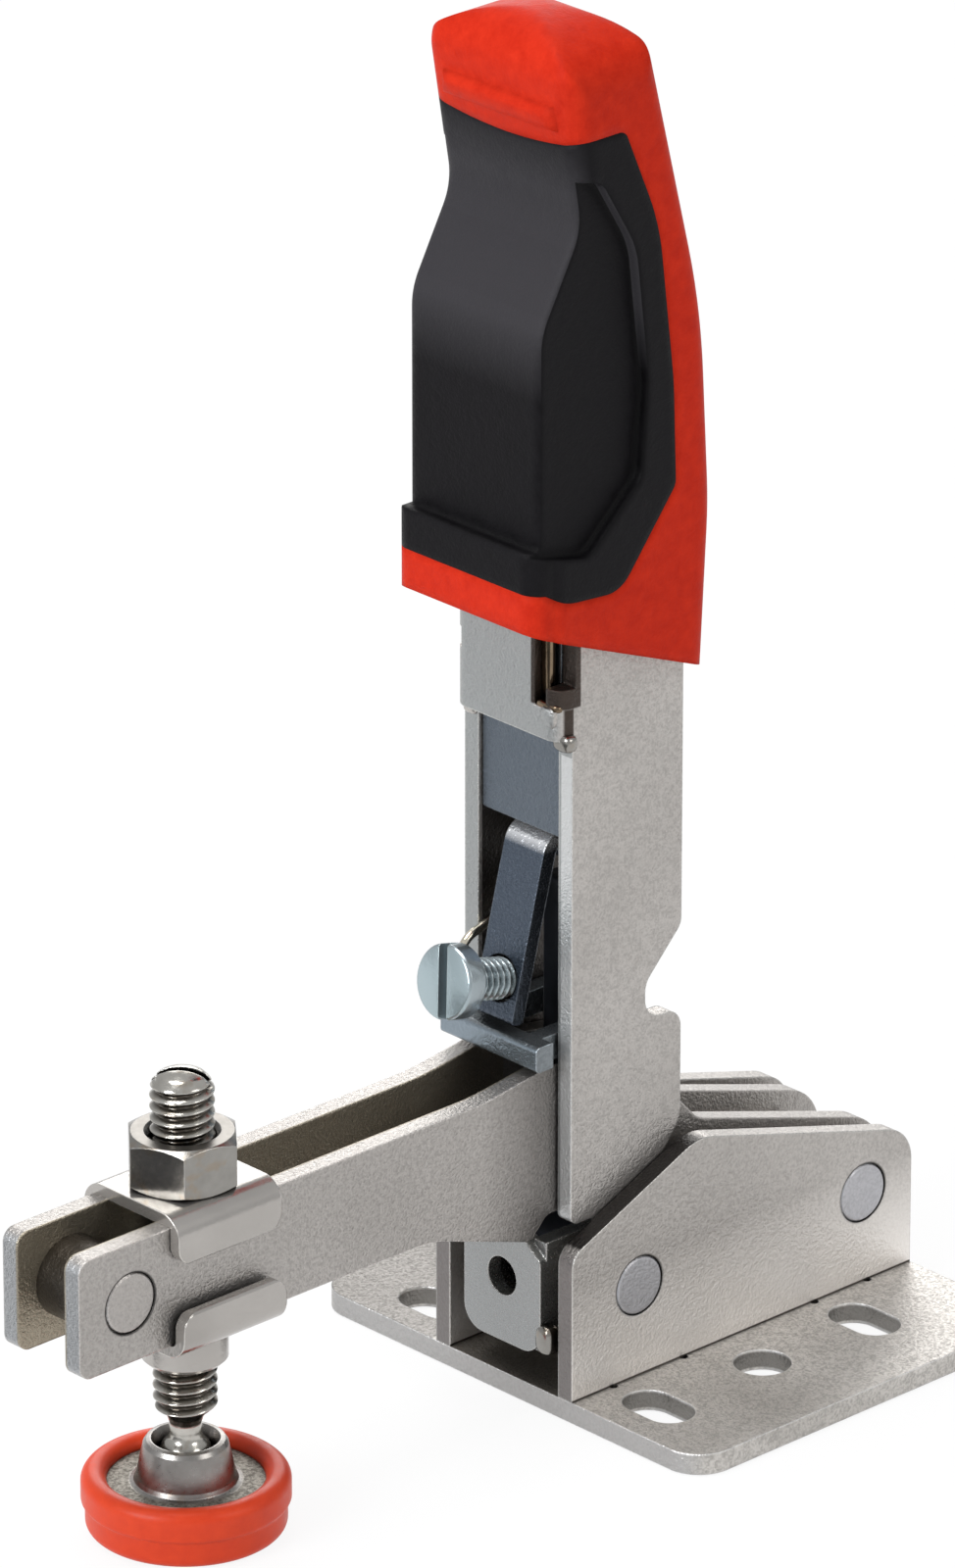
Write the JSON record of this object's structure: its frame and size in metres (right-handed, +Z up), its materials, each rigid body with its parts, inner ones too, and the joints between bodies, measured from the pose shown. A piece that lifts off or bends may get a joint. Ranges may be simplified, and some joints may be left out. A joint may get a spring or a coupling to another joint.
{
  "type": "toggle clamp",
  "caption": "Horizontal-arm toggle clamp with a slotted base, a double-plate arm, a swivel-foot spindle and an upright channel handle with a moulded grip.",
  "frame": {"origin": "underside of the base plate, at the centre of its hole pattern", "axes": "+Z up from the base, -X along the clamping arm towards the spindle, +Y across the clamp"},
  "size_m": [0.1368, 0.07, 0.1835],
  "materials": {
    "zinc_steel": "satin zinc plate, warm grey",
    "blue_zinc": "bright blue-white zinc plate",
    "dark_steel": "blackened spring steel, satin",
    "red_plastic": "smooth moulding with a soft sheen",
    "black_cover": "soft overmoulding, fine texture",
    "red_rubber": "smooth soft rubber"
  },
  "bodies": {
    "base": {"base_plate": "zinc_steel", "side_plate_left": "zinc_steel", "side_plate_right": "zinc_steel", "link_rivet": "zinc_steel", "arm_rivet": "zinc_steel", "arm_pivot_spacers": "zinc_steel", "link_pivot_spacers": "zinc_steel"},
    "arm": {"arm_plate_left": "zinc_steel", "arm_plate_right": "zinc_steel", "arm_tip_rivet": "zinc_steel", "handle_pivot_studs": "zinc_steel"},
    "saddle": {"upper_saddle_washer": "zinc_steel", "lower_saddle_washer": "zinc_steel"},
    "nut": {"spindle_nut": "blue_zinc"},
    "spindle": {"spindle": "blue_zinc"},
    "foot": {"foot_plate": "blue_zinc", "foot_ring": "red_rubber"},
    "handle": {"handle_channel": "zinc_steel", "grip_body": "red_plastic", "grip_cover": "black_cover", "slide_plate": "dark_steel", "lock_pin": "blue_zinc", "lock_spring": "blue_zinc"},
    "tongue": {"tongue": "dark_steel"},
    "screw": {"adjusting_screw": "blue_zinc"},
    "lock": {"lock_plate": "zinc_steel"},
    "link": {"link": "blue_zinc", "lock_bar": "dark_steel"}
  },
  "joints": [
    {"name": "arm_swing", "type": "hinge", "parent": "base", "child": "arm", "pos_m": [0.0258, 0, 0.0153], "axis": [0, 1, 0], "range_deg": [0, 60]},
    {"name": "handle_swing", "type": "hinge", "parent": "arm", "child": "handle", "pos_m": [-0.0125, 0, 0.033], "axis": [0, 1, 0], "range_deg": [0, 30]},
    {"name": "link_swing", "type": "hinge", "parent": "base", "child": "link", "pos_m": [-0.0138, 0, 0.0153], "axis": [0, 1, 0], "range_deg": [0, 45]},
    {"name": "saddle_slide", "type": "slide", "parent": "arm", "child": "saddle", "axis": [1, 0, 0], "range_m": [-0.005, 0.018]},
    {"name": "nut_turn", "type": "hinge", "parent": "saddle", "child": "nut", "pos_m": [-0.0792, 0, 0.05], "axis": [0, 0, 1], "continuous": true},
    {"name": "spindle_height", "type": "slide", "parent": "saddle", "child": "spindle", "axis": [0, 0, 1], "range_m": [-0.008, 0.004]},
    {"name": "foot_tilt", "type": "hinge", "parent": "spindle", "child": "foot", "pos_m": [-0.0792, 0, 0.0094], "axis": [0, 1, 0], "range_deg": [-8, 8]},
    {"name": "tongue_flex", "type": "hinge", "parent": "handle", "child": "tongue", "pos_m": [-0.0133, 0, 0.0726], "axis": [0, 1, 0], "range_deg": [-2, 3], "stiffness_Nm_per_rad": 0.5},
    {"name": "screw_turn", "type": "hinge", "parent": "tongue", "child": "screw", "pos_m": [-0.02634, 0, 0.0574], "axis": [0.9703, 0, -0.2419], "continuous": true},
    {"name": "lock_tilt", "type": "hinge", "parent": "handle", "child": "lock", "pos_m": [-0.0175, 0, 0.0494], "axis": [0, 1, 0], "range_deg": [-2, 2]}
  ],
  "couplings": [
    {"joint": "handle_swing", "follows": "arm_swing", "ratio": 0.5},
    {"joint": "link_swing", "follows": "arm_swing", "ratio": 0.75}
  ]
}
